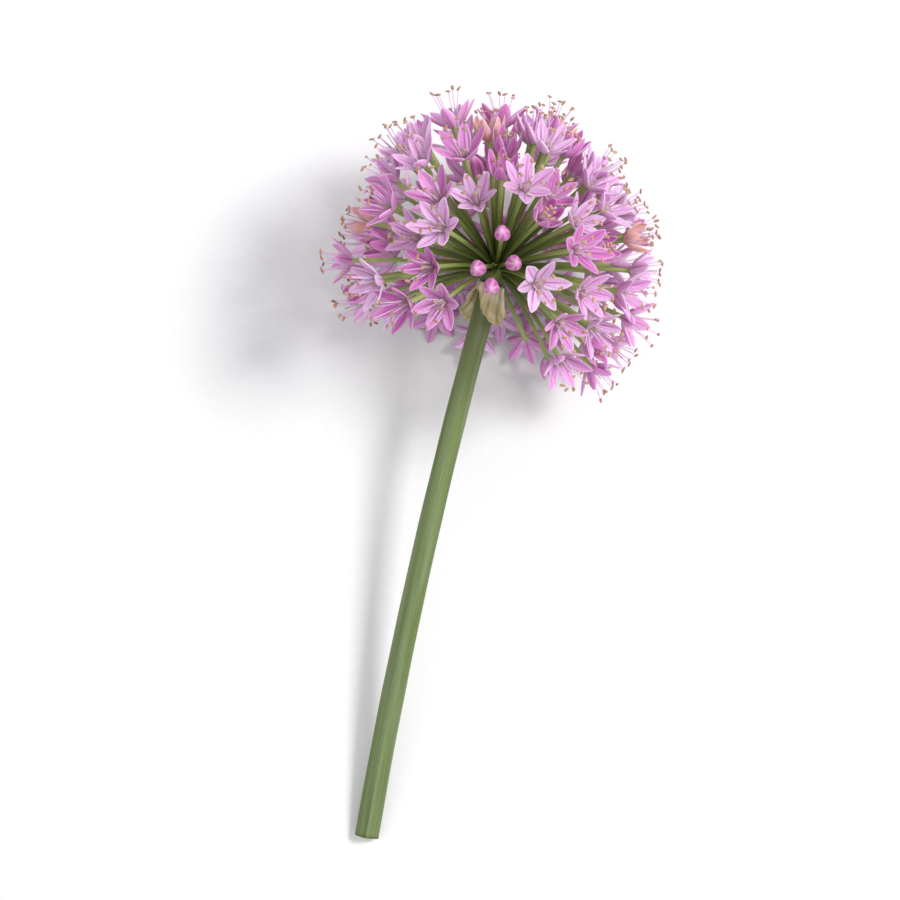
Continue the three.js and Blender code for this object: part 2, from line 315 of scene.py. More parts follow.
def add(tree, kind, inputs=(), **settings):
    """Adds a node. inputs maps a socket's name or number to a value, a socket or a node."""
    node = tree.nodes.new("ShaderNode" + kind)
    for name, value in settings.items():
        setattr(node, name, value)
    for name, value in dict(inputs).items():
        socket = node.inputs[name]
        if isinstance(name, str):
            socket = next(s for s in node.inputs if s.enabled and s.name == name)
        if isinstance(value, bpy.types.Node):
            value = next(s for s in value.outputs if s.enabled)
        if isinstance(value, bpy.types.NodeSocket):
            tree.links.new(value, socket)
        else:
            socket.default_value = value
    return node


def colour(hex_code):
    shares = [int(hex_code[i:i + 2], 16) / 255 for i in (1, 3, 5)]
    return [s / 12.92 if s <= 0.04045 else ((s + 0.055) / 1.055) ** 2.4 for s in shares] + [1]


print("mid lilac, linear:", [round(share, 3) for share in colour("#CE92B9")])

# %% A finish and the place on its chart


def new_finish(name):
    material = bpy.data.materials.new(name)
    material.use_nodes = True
    material.node_tree.nodes.clear()
    return material, material.node_tree


def chart_place(tree, columns=1, rows=1):
    """The share of the way round and along a skin, and its cell's column and row."""
    chart = add(tree, "UVMap", uv_map=CHART)
    cells = add(tree, "VectorMath", {0: chart, 1: (columns, rows, 1)}, operation="MULTIPLY")
    cell = add(tree, "VectorMath", {0: cells}, operation="FLOOR")
    inset = add(tree, "VectorMath", {0: cells, 1: cell}, operation="SUBTRACT")
    on_skin = add(tree, "MapRange", {  # 7 and 8 are the vectors From Min and From Max
        "Vector": inset, 7: (CELL_MARGIN,) * 3, 8: (1 - CELL_MARGIN,) * 3,
    }, data_type="FLOAT_VECTOR")
    place = add(tree, "SeparateXYZ", {0: on_skin})
    return place.outputs["X"], place.outputs["Y"], cell


print("finishes so far:", len(bpy.data.materials))

# %% [markdown]
# ## Petal tissue
#
# A tepal is living tissue about a fifth of a millimetre thick, full of water and lilac sap. It
# reflects softly from its velvety cells, and light that falls on its back glows through. A clear
# shader would give the glow but no body, so the colour is scattered under the surface instead.
#
# The chart's ten rows are ages: fresh florets are deep lilac, older ones pale, and the last row
# has gone salmon. The twelve columns are small differences from one tepal to the next.

# %% Petal tissue: ages, margins, veins
COLUMNS, ROWS = 12, 10
TEPAL_LENGTH, TEPAL_HALF_WIDTH = 6.4, 1.5  # millimetres, to scale the pattern
CELL_SHIFT = 50  # millimetres that the pattern moves between two cells, at most
NOISE_SPAN = {"From Min": 0.3, "From Max": 0.7}  # nearly all values of a noise lie in it
LILAC_DEEP, LILAC_PALE, SALMON = "#DC88CB", "#F2CDF0", "#E6B09E"
MARGIN_PALE, CLAW_PALE, MIDVEIN = "#F6E2F2", "#F0E8E6", "#A8589A"
TISSUE = {
    "IOR": 1.4, "Subsurface Weight": 0.4, "Subsurface Radius": (1, 0.45, 0.75),
    "Subsurface Scale": 0.6 * MM, "Sheen Weight": 0.15, "Sheen Roughness": 0.4,
}


def surface(tree, base, roughness, height, depth, constants=()):
    """Ends a finish: colour, roughness, and a relief of that depth in millimetres."""
    relief = add(tree, "Bump", {"Height": height, "Distance": depth * MM})
    shader = add(tree, "BsdfPrincipled", {
        "Base Color": base, "Roughness": roughness, "Normal": relief, **dict(constants),
    })
    add(tree, "OutputMaterial", {"Surface": shader})


def tinted(tree, base, tint, value, start, end, most=1, ease="SMOOTHSTEP"):
    """A colour with none of a tint up to where the value is start, and most of it at end."""
    share = add(tree, "MapRange", {
        "Value": value, "From Min": start, "From Max": end, "To Max": most,
    }, interpolation_type=ease)
    return add(tree, "Mix", {"Factor": share, "A": base, "B": colour(tint)}, data_type="RGBA")


def tissue_place(tree, cell, from_edge, along):
    """Millimetres over a tepal, with a shift for each cell, so that no two cells look alike."""
    chance = add(tree, "TexWhiteNoise", {"Vector": cell})
    # half a width is a quarter of the way round
    across_mm = add(tree, "Math", {0: from_edge, 1: TEPAL_HALF_WIDTH * 4}, operation="MULTIPLY")
    along_mm = add(tree, "Math", {0: along, 1: TEPAL_LENGTH}, operation="MULTIPLY")
    shift = add(tree, "Math", {0: chance, 1: CELL_SHIFT}, operation="MULTIPLY")
    return chance, add(tree, "CombineXYZ", {"X": across_mm, "Y": along_mm, "Z": shift})


def petal_tissue():
    material, tree = new_finish("petal_tissue")
    around, along, cell = chart_place(tree, COLUMNS, ROWS)
    age = add(tree, "SeparateXYZ", {0: cell}).outputs["Y"]
    # 0 at both edges, a quarter at the middle of both faces
    from_edge = add(tree, "Math", {0: around, 1: 0.25}, operation="PINGPONG")
    chance, on_tissue = tissue_place(tree, cell, from_edge, along)

    base = tinted(tree, colour(LILAC_DEEP), LILAC_PALE, age, 0, ROWS - 2, ease="LINEAR")
    base = tinted(tree, base, MARGIN_PALE, from_edge, 0.1, 0, most=0.6)
    base = tinted(tree, base, CLAW_PALE, along, 0.34, 0.08, most=0.75)
    at_midvein = add(tree, "MapRange", {
        "Value": from_edge, "From Min": 0.2, "From Max": 0.245, "To Max": 0.7,
    }, interpolation_type="SMOOTHSTEP")
    towards_tip = add(tree, "MapRange", {
        "Value": along, "From Min": 0.5, "From Max": 0.95, "To Min": 1, "To Max": 0.3,
    })
    vein = add(tree, "Math", {0: at_midvein, 1: towards_tip}, operation="MULTIPLY")
    base = add(tree, "Mix", {"Factor": vein, "A": base, "B": colour(MIDVEIN)}, data_type="RGBA")

    # fading, in blotches two millimetres wide
    blotch = add(tree, "TexNoise", {"Vector": on_tissue, "Scale": 0.5, "Detail": 3})
    faded = add(tree, "MapRange", {"Value": age, "From Min": ROWS - 2, "From Max": ROWS - 1})
    blotched = add(tree, "MapRange", {
        "Value": blotch, "From Min": 0.3, "From Max": 0.6, "To Min": 0.55,
    })
    salmon = add(tree, "Math", {0: faded, 1: blotched}, operation="MULTIPLY")
    base = add(tree, "Mix", {"Factor": salmon, "A": base, "B": colour(SALMON)}, data_type="RGBA")

    # rows of cells along the tepal, drawn several times as coarse as real ones so that they show
    drawn_out = add(tree, "VectorMath", {0: on_tissue, 1: (1, 0.25, 1)}, operation="MULTIPLY")
    rows_of_cells = add(tree, "TexNoise", {"Vector": drawn_out, "Scale": 6, "Detail": 4})
    tepal_tone = add(tree, "MapRange", {"Value": chance, "To Min": 0.84, "To Max": 1.05})
    cell_tone = add(tree, "MapRange", {
        "Value": rows_of_cells, **NOISE_SPAN, "To Min": 0.9, "To Max": 1.04,
    })
    tone = add(tree, "Math", {0: tepal_tone, 1: cell_tone}, operation="MULTIPLY")
    base = add(tree, "VectorMath", {0: base, "Scale": tone}, operation="SCALE")
    roughness = add(tree, "MapRange", {"Value": rows_of_cells, "To Min": 0.36, "To Max": 0.56})
    furrow = add(tree, "Math", {0: vein, 1: -1.5, 2: rows_of_cells}, operation="MULTIPLY_ADD")
    surface(tree, base, roughness, furrow, 0.05, TISSUE)
    return material


petal = petal_tissue()
print("petal tissue, nodes:", len(petal.node_tree.nodes))

# %% [markdown]
# ## One tepal
#
# Each floret has six tepals in two whorls of three. A tepal rises from a narrow claw, widens to
# an ellipse, and is hollow like a boat, with a keel on its back. A flat plane with a picture
# would show its corners, so each is a curved sheet with two faces: a curve gives its side view,
# a formula its width, and a little sway, twist and ripple make each one different.

# %% Curves, and the sheet of one tepal


def on_curve(points, shares):
    """Places and directions along a Bezier curve, at these shares of it."""
    shares = np.asarray(shares, float)[:, None]
    level = [np.asarray(point, float) + 0 * shares for point in points]
    while len(level) > 2:
        level = [a + (b - a) * shares for a, b in zip(level, level[1:])]
    return level[0] + (level[1] - level[0]) * shares, unit(level[1] - level[0])


ACROSS = np.linspace(-1, 1, 9)
ALONG = np.linspace(0, 0.97, 11)
CLAW_START, WIDEST_LATE, FULLNESS = 0.12, 1.1, 0.7  # turn a sine into the outline of a tepal
MARGIN_DRAWN_IN = 0.1  # share of the half width
RIPPLE_WAVES, RIPPLE_SLANT = 9, 2
KEEL_WIDTH = 0.2  # share of the half width


def tepal_sheet(side_view, half_width, cup, sway, twist, ripple):
    """The middle of a tepal, along by across by (outward, sideways, upward), and its tip."""
    middle, tangent = on_curve(side_view, ALONG)
    inward = tangent[:, ::-1] * (-1, 1)
    grown = (CLAW_START + (1 - CLAW_START) * ALONG) ** WIDEST_LATE
    width = half_width * (np.sin(math.pi * grown) ** FULLNESS)[:, None]
    aside = width * ACROSS * (1 - MARGIN_DRAWN_IN * ACROSS ** 2)
    lift = cup * width * ACROSS ** 2 + twist * ALONG[:, None] * aside
    waves = np.sin(RIPPLE_WAVES * ALONG[:, None] + RIPPLE_SLANT * ACROSS)
    lift = lift + ripple * waves * ACROSS ** 2
    bent = sway * ALONG[:, None] ** 2
    sheet = np.stack([
        middle[:, :1] + inward[:, :1] * lift, bent - aside, middle[:, 1:] + inward[:, 1:] * lift,
    ], axis=2)
    outward, upward = side_view[-1]
    return sheet, np.array([outward, sway, upward])


def sheet_rings(sheet, thickness, keel=0.0):
    """Rings round a thin sheet: over its upper face, then back under its lower one."""
    facing = unit(np.cross(np.gradient(sheet, axis=1), np.gradient(sheet, axis=0)))
    across = np.linspace(-1, 1, sheet.shape[1])
    half = thickness / 2 * np.sqrt(1 - across ** 2)[:, None]
    under = half + keel * np.exp(-(across / KEEL_WIDTH) ** 2)[:, None]
    return np.concatenate([sheet + facing * half, (sheet - facing * under)[:, -2:0:-1]], axis=1)


print("faces of one tepal:", len(skin_pattern(len(ALONG), 2 * len(ACROSS) - 2)[0]))

# %% [markdown]
# ## Florets open at different times
#
# A floret opens from a cup to a star, and closes again as it fades. The side view of its tepals
# is a curve of four points: claw, two handles and tip. The curves of the open and the half-open
# floret follow the plain model's florets, and each floret's own age moves it a little between
# them.

# %% Side views of tepals, and how ripe a floret is
SIDE_VIEWS = {  # outward and upward from the end of the pedicel
    "open": [(0.5, 0.5), (1.9, 0.5), (4.0, 3.1), (5.0, 4.6)],
    "half open": [(0.5, 0.5), (2.3, 0.8), (3.1, 3.5), (2.7, 5.4)],
    "flattened": [(0.5, 0.5), (1.9, 0.5), (3.9, 2.5), (5.2, 2.95)],
    "faded": [(0.5, 0.5), (2.2, 0.9), (3.5, 3.4), (3.1, 5.1)],
}
WHORLS = {"outer": (0, 1.55, 0.42, 0.0), "inner": (1, 1.4, 0.3, 0.16)}  # first, width, cup, lift
FADED_AGE = 0.93
SURFACE_CLEARANCE = 0.15


def ripeness(floret):
    """From 0, just opened, to 1, about to fade."""
    opened = BUD_SHARE + HALF_OPEN_SHARE
    return max(0, floret["age"] - opened) / (1 - opened)


def stage_of(floret):
    """Its kind, but faded for the oldest open ones."""
    is_faded = floret["kind"] == "open" and floret["age"] > FADED_AGE
    return "faded" if is_faded else floret["kind"]


def chart_row(floret):
    """Its age's row of the chart. The last row is for faded ones."""
    if floret["age"] > FADED_AGE:
        return ROWS - 1
    return int(ripeness(floret) * (ROWS - 1.01))


def on_floret(local, floret, turn):
    """Turns points round the floret's axis, and puts them at the end of its pedicel."""
    outward, aside, upward = np.moveaxis(np.asarray(local, float), -1, 0)
    turned = np.stack([
        outward * math.cos(turn) - aside * math.sin(turn),
        outward * math.sin(turn) + aside * math.cos(turn), upward,
    ], axis=-1)
    placed = floret["foot"] + floret["size"] * turned @ floret["frame"]
    placed[..., 2] = np.maximum(placed[..., 2], SURFACE_CLEARANCE)
    return placed


print("florets per row of the chart:",
      np.bincount([chart_row(floret) for floret in florets], minlength=ROWS))

# %% Set the tepals of one whorl on every open floret
TEPAL_THICKNESS, TEPAL_KEEL = 0.17, 0.06
SHUT_WIDTH = 0.85  # share of the width that shows on a half-open or faded floret
RIPPLE, WORN_RIPPLE = 0.04, 0.16  # at most, when fresh and when faded

# How far florets differ, and then their tepals. Handles and tips move outward and upward.
MOUTH_SPREAD, MOUTH_SHARES, MOUTH_DROP = 0.25, (0, 0.2, 0.6, 1), -0.6
HANDLE_SPREAD, TIP_SPREAD = (0.1, 0.12), (0.16, 0.14)
WIDTH_RANGE = (0.92, 1.05)
CUP_SPREAD, SWAY_SPREAD, TWIST_SPREAD, TURN_SPREAD = 0.06, 0.22, 0.1, 3

flowering = [(i, floret) for i, floret in enumerate(florets) if floret["kind"] != "bud"]


def tepal_whorl(name):
    first, half_width, cup, lift = WHORLS[name]
    chance = random.Random(name)
    skins = Skins(COLUMNS, ROWS)
    for _, floret in flowering:
        stage = stage_of(floret)
        view = np.array(SIDE_VIEWS[stage]) + (0, lift)
        width = half_width * (SHUT_WIDTH if stage in ("half open", "faded") else 1)
        worn = WORN_RIPPLE if stage == "faded" else RIPPLE
        spread = chance.uniform(-MOUTH_SPREAD, MOUTH_SPREAD)
        for k in range(first, 6, 2):
            side_view = view + np.outer(MOUTH_SHARES, (spread, MOUTH_DROP * spread))
            side_view[2:] += [chance.gauss(0, amount) for amount in HANDLE_SPREAD]
            if stage != "flattened":
                side_view[3] += [chance.gauss(0, amount) for amount in TIP_SPREAD]
            sheet, tip = tepal_sheet(
                side_view, width * chance.uniform(*WIDTH_RANGE), cup + chance.gauss(0, CUP_SPREAD),
                chance.gauss(0, SWAY_SPREAD), chance.gauss(0, TWIST_SPREAD),
                chance.uniform(0, worn))
            turn = floret["turn"] + math.radians(60 * k + chance.gauss(0, TURN_SPREAD))
            rings = sheet_rings(on_floret(sheet, floret, turn), TEPAL_THICKNESS, TEPAL_KEEL)
            cell = (chance.randrange(COLUMNS), chart_row(floret))
            skins.add(rings, end=on_floret(tip, floret, turn), cell=cell)
    skins.piece(f"{name}_tepals", petal, "floret_lilac", "umbel")


for whorl in WHORLS:
    tepal_whorl(whorl)

# %% [markdown]
# ## Buds
#
# A bud is an egg of six folded tepals. The outer three lap over the inner three, so its skin has
# low steps, and each tepal shows its keel. It could be made of six shut tepals, but they would
# cut through each other, so it is one skin whose radius goes up and down round it.

# %% Bud tissue: magenta, with dark keels and pale tips
BUD_MAGENTA, BUD_KEEL, BUD_TIP, BUD_FOOT = "#CB72B2", "#94497F", "#EFC9E4", "#A9A577"


def bud_tissue():
    material, tree = new_finish("bud_tissue")
    around, along, cell = chart_place(tree, COLUMNS, ROWS)
    # 0 at each of six keels, a twelfth at the laps between them
    from_keel = add(tree, "Math", {0: around, 1: 1 / 12}, operation="PINGPONG")
    chance, on_tissue = tissue_place(tree, cell, from_keel, along)
    base = tinted(tree, colour(BUD_MAGENTA), BUD_KEEL, from_keel, 0.022, 0.004, most=0.75)
    base = tinted(tree, base, BUD_TIP, from_keel, 0.055, 0.083, most=0.55)  # at the laps
    base = tinted(tree, base, BUD_TIP, along, 0.7, 1, most=0.6)
    base = tinted(tree, base, BUD_FOOT, along, 0.3, 0.05, most=0.8)
    rows_of_cells = add(tree, "TexNoise", {"Vector": on_tissue, "Scale": 5, "Detail": 4})
    bud_tone = add(tree, "MapRange", {"Value": chance, "To Min": 0.85, "To Max": 1.12})
    base = add(tree, "VectorMath", {0: base, "Scale": bud_tone}, operation="SCALE")
    roughness = add(tree, "MapRange", {"Value": rows_of_cells, "To Min": 0.35, "To Max": 0.55})
    surface(tree, base, roughness, rows_of_cells, 0.04, TISSUE)
    return material


# %% Buds
BUD_OUTLINE = [(0.6, 0.2), (1.5, 0.6), (2.7, 2.6), (1.3, 4.6), (0.35, 5.25)]  # radius, height
BUD_TIP_HEIGHT = 5.4
BUD_RINGS, BUD_SIDES = 15, 36
LAP, LAP_STEEPNESS = 0.05, 2.5  # how far the outer tepals stand out, as a share of the radius
BUD_KEEL_HEIGHT = 0.03  # share of the radius
BUD_LEAN, BUD_SKEW = 0.12, 0.5  # of the tip, to a side and round the axis


def bud_rings(floret, chance):
    shares = np.linspace(0, 1, BUD_RINGS)
    outline, _ = on_curve(BUD_OUTLINE, shares)
    turns = np.arange(BUD_SIDES) * 2 * math.pi / BUD_SIDES
    lean = chance.gauss(0, BUD_LEAN)
    outer = np.clip(LAP_STEEPNESS * np.cos(3 * turns), -1, 1)
    keel = BUD_KEEL_HEIGHT * np.cos(6 * turns) ** 5
    skew = BUD_SKEW * shares[:, None] ** 3  # the laps turn a little at the tip
    radius = outline[:, :1] * (1 + LAP * outer + keel)
    local = np.stack([
        radius * np.cos(turns + skew) + lean * outline[:, 1:] ** 2 / 10,
        radius * np.sin(turns + skew), outline[:, 1:] + 0 * turns,
    ], axis=2)
    return on_floret(local, floret, floret["turn"])


def chart_cell(number):
    """A cell of its own for each floret, where the rows aren't ages."""
    return number % COLUMNS, number // COLUMNS


def buds():
    chance = random.Random("buds")
    skins = Skins(COLUMNS, ROWS)
    for number, floret in enumerate(florets):
        if floret["kind"] == "bud":
            tip = on_floret((0, 0, BUD_TIP_HEIGHT), floret, 0)
            skins.add(bud_rings(floret, chance), end=tip, cell=chart_cell(number))
    skins.piece("buds", bud_tissue(), "bud_pink", "umbel")


buds()

# %% [markdown]
# ## Pedicels
#
# A pedicel is a green thread of a stalk, blunt-edged, thicker at its root and swollen into a
# small cup where it carries the floret. A bevelled curve would give a plain round tube. Rings of
# points along the same curve let it keep three blunt edges and flare at the top.

# %% Pedicel skin: green, tinted lilac below the floret, with painted shade at the root and painted light towards the top
PEDICEL_ROOT_PAINTED_SHADE, PEDICEL_GREEN = "#3C481A", "#738236"
PEDICEL_TOP_PAINTED_LIGHT, PEDICEL_BLUSH = "#A8B272", "#B8989C"
# Streaks round a pedicel, a fifth of a millimetre wide, and along it, about five millimetres
# long. The third number keeps one pedicel's streaks away from the next one's.
PEDICEL_STREAKS = (14, 5, 90)
STALK_TISSUE = {
    "IOR": 1.42, "Subsurface Weight": 0.15, "Subsurface Radius": (0.5, 1, 0.25),
    "Subsurface Scale": 0.5 * MM,
}


def pedicel_skin():
    material, tree = new_finish("pedicel_skin")
    around, along, cell = chart_place(tree, COLUMNS, ROWS)
    chance = add(tree, "TexWhiteNoise", {"Vector": cell})
    # painted shade: dark at the root, deep inside the head; painted light: lighter towards the
    # floret, out in the light
    base = tinted(tree, colour(PEDICEL_ROOT_PAINTED_SHADE), PEDICEL_GREEN, along, 0.05, 0.6, ease="LINEAR")
    base = tinted(tree, base, PEDICEL_TOP_PAINTED_LIGHT, along, 0.5, 0.85, ease="LINEAR")
    base = tinted(tree, base, PEDICEL_BLUSH, along, 0.8, 0.97, most=0.6)
    on_stalk = add(tree, "CombineXYZ", {"X": around, "Y": along, "Z": chance})
    streaks = add(tree, "VectorMath", {0: on_stalk, 1: PEDICEL_STREAKS}, operation="MULTIPLY")
    streak = add(tree, "TexNoise", {"Vector": streaks, "Scale": 1, "Detail": 3})
    streak_tone = add(tree, "MapRange", {
        "Value": streak, **NOISE_SPAN, "To Min": 0.85, "To Max": 1.15,
    })
    stalk_tone = add(tree, "MapRange", {"Value": chance, "To Min": 0.85, "To Max": 1.15})
    tone = add(tree, "Math", {0: streak_tone, 1: stalk_tone}, operation="MULTIPLY")
    base = add(tree, "VectorMath", {0: base, "Scale": tone}, operation="SCALE")
    roughness = add(tree, "MapRange", {"Value": streak, "To Min": 0.35, "To Max": 0.55})
    surface(tree, base, roughness, streak, 0.04, STALK_TISSUE)
    return material


green_skin = pedicel_skin()
print("green skin, nodes:", len(green_skin.node_tree.nodes))

# %% Pedicels
PEDICEL_RADII = [(0, 0.5), (0.25, 0.43), (0.8, 0.4), (1, 0.5)]  # share of its length, radius
CUP = [(0.25, 0.62), (0.5, 0.8), (0.72, 0.72)]  # height above its end, radius
BLUNT_EDGES = 0.07
PEDICEL_RINGS, PEDICEL_SIDES = 16, 9


def tube_rings(middles, tangents, level, radii, sides, lobes=0, lobe=0.0):
    """Rings round a path. level points to the first point of each ring."""
    level = unit(level - tangents * (tangents @ level)[:, None])
    other = np.cross(tangents, level)
    turns = np.arange(sides) * 2 * math.pi / sides
    ring = level[:, None] * np.cos(turns)[:, None] + other[:, None] * np.sin(turns)[:, None]
    reach = np.outer(radii, 1 + lobe * np.cos(lobes * turns))
    return middles[:, None] + ring * reach[..., None]


def pedicels():
    skins = Skins(COLUMNS, ROWS)
    shares = np.linspace(0, 1, PEDICEL_RINGS)
    cup_heights, cup_radii = zip(*CUP)
    radii = np.concatenate([np.interp(shares, *zip(*PEDICEL_RADII)), cup_radii])
    for number, floret in enumerate(florets):
        middles, tangents = on_curve(floret["curve"], shares)
        across, _, axis = floret["frame"]
        cup = np.array([floret["foot"] + axis * height for height in cup_heights])
        rings = tube_rings(
            np.concatenate([middles, cup]), np.concatenate([tangents, [axis] * len(CUP)]),
            across, radii, PEDICEL_SIDES, lobes=3, lobe=BLUNT_EDGES)
        skins.add(rings, cell=chart_cell(number))
    skins.piece("pedicels", green_skin, "pedicel_green", "umbel")


pedicels()

# %% [markdown]
# ## Receptacle
#
# All pedicels leave one knob, the swollen top of the stem. Between their roots its skin is
# puckered. It is nearly hidden, but it closes the head where the stem comes in, so it is a skin
# over rings as well, with low swellings up it and round it.

# %% Receptacle
RECEPTACLE_OUTLINE = [(2.15, -2.7), (2.3, -2.1), (3.1, -0.6), (3.1, 0.9), (1.9, 2.3), (0.4, 2.6)]
RECEPTACLE_TOP = 2.65
RECEPTACLE_RINGS, RECEPTACLE_SIDES = 20, 60
PUCKER, PUCKERS_UP, PUCKERS_ROUND = 0.05, 2.4, 15  # share of radius, radians a mm, in a ring


def receptacle():
    radii, heights = np.array(RECEPTACLE_OUTLINE).T
    levels = np.linspace(heights[0], heights[-1], RECEPTACLE_RINGS)
    puckered = np.interp(levels, heights, radii) * (1 + PUCKER * np.sin(PUCKERS_UP * levels))
    rings = tube_rings(
        HEAD_CENTRE + head_axis * levels[:, None], np.tile(head_axis, (len(levels), 1)), head_up,
        puckered, RECEPTACLE_SIDES, lobes=PUCKERS_ROUND, lobe=PUCKER)
    skins = Skins(COLUMNS, ROWS)
    skins.add(rings, end=HEAD_CENTRE + head_axis * RECEPTACLE_TOP)
    skins.piece("receptacle", green_skin, "pedicel_green", "umbel")


receptacle()

# %% [markdown]
# ## Stamens
#
# Six stamens stand out of each open floret: a pale filament that tapers, and on its tip an
# anther, two pollen sacs side by side that hang on by the middle. They make the head look misty
# from a step away, so all of them are there. They reach about as far as the plain model's
# spikes, three on each open or pressed floret.

# %% Filament, anther and ovary tissues
FILAMENT_FOOT, FILAMENT_TIP = "#E9D3E8", "#D19CCB"
ANTHER_TAN, ANTHER_DARK, POLLEN = "#BA9482", "#906A58", "#DCC48C"
OVARY_GREEN, OVARY_LILAC = "#A3A873", "#B583A3"


def blended_tissue(name, low, high, grain, grain_scale, roughness_range, depth):
    """A tissue that turns from one colour to another along its skin, with grains of a third."""
    material, tree = new_finish(name)
    around, along, cell = chart_place(tree, COLUMNS, ROWS)
    chance = add(tree, "TexWhiteNoise", {"Vector": cell})
    place = add(tree, "CombineXYZ", {"X": around, "Y": along, "Z": chance})
    speck = add(tree, "TexVoronoi", {"Vector": place, "Scale": grain_scale})
    base = add(tree, "Mix", {"Factor": along, "A": colour(low), "B": colour(high)},
               data_type="RGBA")
    base = tinted(tree, base, grain, speck, 0.45, 0.25, most=0.7)
    tone = add(tree, "MapRange", {"Value": chance, "To Min": 0.85, "To Max": 1.12})
    base = add(tree, "VectorMath", {0: base, "Scale": tone}, operation="SCALE")
    smooth, rough = roughness_range
    roughness = add(tree, "MapRange", {"Value": speck, "To Min": smooth, "To Max": rough})
    surface(tree, base, roughness, speck, depth, TISSUE)
    return material


filament_tissue = blended_tissue(
    "filament_tissue", FILAMENT_FOOT, FILAMENT_TIP, FILAMENT_FOOT, 6, (0.35, 0.5), 0.01)
pollen_sac = blended_tissue("pollen_sac", ANTHER_DARK, ANTHER_TAN, POLLEN, 9, (0.7, 0.9), 0.04)
ovary_skin = blended_tissue(
    "ovary_skin", OVARY_GREEN, OVARY_LILAC, OVARY_GREEN, 5, (0.25, 0.45), 0.03)
print("finishes so far:", len(bpy.data.materials))

# %% Stamens
STAMENS = {  # outward and upward: foot, handle and tip of a filament
    "open": [(0.75, 0.7), (1.5, 4.2), (2.45, 7.3)],
    "faded": [(0.75, 0.7), (1.3, 3.8), (2.0, 6.6)],
    "half open": [(0.7, 0.7), (1.3, 2.8), (1.1, 4.7)],
    "flattened": [(0.75, 0.7), (1.2, 1.6), (1.3, 2.1)],
}
FILAMENT_RADII, FILAMENT_RINGS, FILAMENT_SIDES = (0.17, 0.07), 8, 6
FILAMENT_REACH, FILAMENT_TIP_SPREAD, FILAMENT_TURN_SPREAD = (0.86, 1.04), 0.3, 6
ANTHER_LENGTH, ANTHER_RADIUS, SACS = 1.25, 0.27, 0.25
ANTHER_RINGS, ANTHER_SIDES, ANTHER_END = 7, 10, 0.9
ANTHER_LEVELLED = 0.6  # how far anthers turn to lie across the floret's axis


def filament_rings(side_view, floret, turn):
    path, _ = on_curve(side_view, np.linspace(0, 1, FILAMENT_RINGS))
    local = np.stack([path[:, 0], 0 * path[:, 0], path[:, 1]], axis=1)
    middles = on_floret(local, floret, turn)
    tangents = unit(np.gradient(middles, axis=0))
    aside = on_floret((0, 1, 0), floret, turn) - on_floret((0, 0, 0), floret, turn)
    radii = np.linspace(*FILAMENT_RADII, FILAMENT_RINGS)
    return tube_rings(middles, tangents, aside, radii, FILAMENT_SIDES), middles[-1]


def anther_rings(middle, along, level):
    shares = np.linspace(-ANTHER_END, ANTHER_END, ANTHER_RINGS)
    middles = middle + along * ANTHER_LENGTH / 2 * shares[:, None]
    tangents = np.tile(along, (ANTHER_RINGS, 1))
    radii = ANTHER_RADIUS * np.sqrt(1 - shares ** 2)
    return tube_rings(middles, tangents, level, radii, ANTHER_SIDES, lobes=2, lobe=SACS)


def stamens():
    chance = random.Random("stamens")
    filaments, anthers = Skins(COLUMNS, ROWS), Skins(COLUMNS, ROWS)
    for number, floret in flowering:
        axis = floret["frame"][2]
        column, row = chart_cell(number)
        for k in range(6):
            side_view = np.array(STAMENS[stage_of(floret)])
            side_view[1:] *= chance.uniform(*FILAMENT_REACH)
            side_view[2, 0] += chance.gauss(0, FILAMENT_TIP_SPREAD)
            turn = floret["turn"] + math.radians(60 * k + chance.gauss(0, FILAMENT_TURN_SPREAD))
            rings, top = filament_rings(side_view, floret, turn)
            filaments.add(rings, cell=(column, row))
            lie = unit(np.array([chance.gauss(0, 1) for _ in range(3)]))
            lie = unit(lie - ANTHER_LEVELLED * axis * (lie @ axis))
            top[2] = max(top[2], ANTHER_LENGTH / 2)
            level = unit(np.cross(lie, axis) + 0.01)  # never of no length
            anthers.add(anther_rings(top, lie, level), cell=(chance.randrange(COLUMNS), row))
    filaments.piece("filaments", filament_tissue, "floret_lilac", "umbel")
    anthers.piece("anthers", pollen_sac, "anther_tan", "umbel")


stamens()

# %% Ovaries with their styles
OVARY_OUTLINE = [(0.6, 0.5), (1.15, 0.6), (1.25, 1.7), (0.75, 2.3), (0.2, 2.35)]
OVARY_LOBES, OVARY_RINGS, OVARY_SIDES = 0.12, 10, 18
STYLE_RADII, STYLE_SIDES = 0.09 * np.array([1.3, 1, 0.9, 0.9, 1, 1.5]), 6
STYLE_SUNK, STYLE_SPREAD = 0.2, 0.15
STYLE_FLATTENED, STYLE_YOUNG, STYLE_GROWS = 0.5, 1, 3  # millimetres long, and longer when ripe


def ovaries():
    chance = random.Random("ovaries")
    skins = Skins(COLUMNS, ROWS)
    outline, _ = on_curve(OVARY_OUTLINE, np.linspace(0, 1, OVARY_RINGS))
    for number, floret in flowering:
        across, _, axis = floret["frame"]
        cell = chart_cell(number)
        middles = floret["foot"] + axis * outline[:, 1:]
        tangents = np.tile(axis, (OVARY_RINGS, 1))
        skins.add(tube_rings(
            middles, tangents, across, outline[:, 0], OVARY_SIDES, lobes=3, lobe=OVARY_LOBES,
        ), cell=cell)
        length = STYLE_YOUNG + STYLE_GROWS * ripeness(floret)
        if floret["kind"] == "flattened":
            length = STYLE_FLATTENED
        lean = axis + STYLE_SPREAD * across * chance.gauss(0, 1)
        rings = len(STYLE_RADII)
        middles = middles[-1] + lean * np.linspace(-STYLE_SUNK, length, rings)[:, None]
        tangents = np.tile(unit(lean), (rings, 1))
        skins.add(tube_rings(middles, tangents, across, STYLE_RADII, STYLE_SIDES), cell=cell)
    skins.piece("ovaries", ovary_skin, "floret_lilac", "umbel")


ovaries()

# %% [markdown]
# ## The stem
#
# The scape is a solid green stalk with a waxy bloom, low ribs along it, and two blunt edges.
# An oval would look like wire. A rounded rhombus turns two flat sides up, one in the light and
# one in the shade, as on the real one. The ribs are in the shape, coarser than real ones, and the
# finish shades the furrows between them.

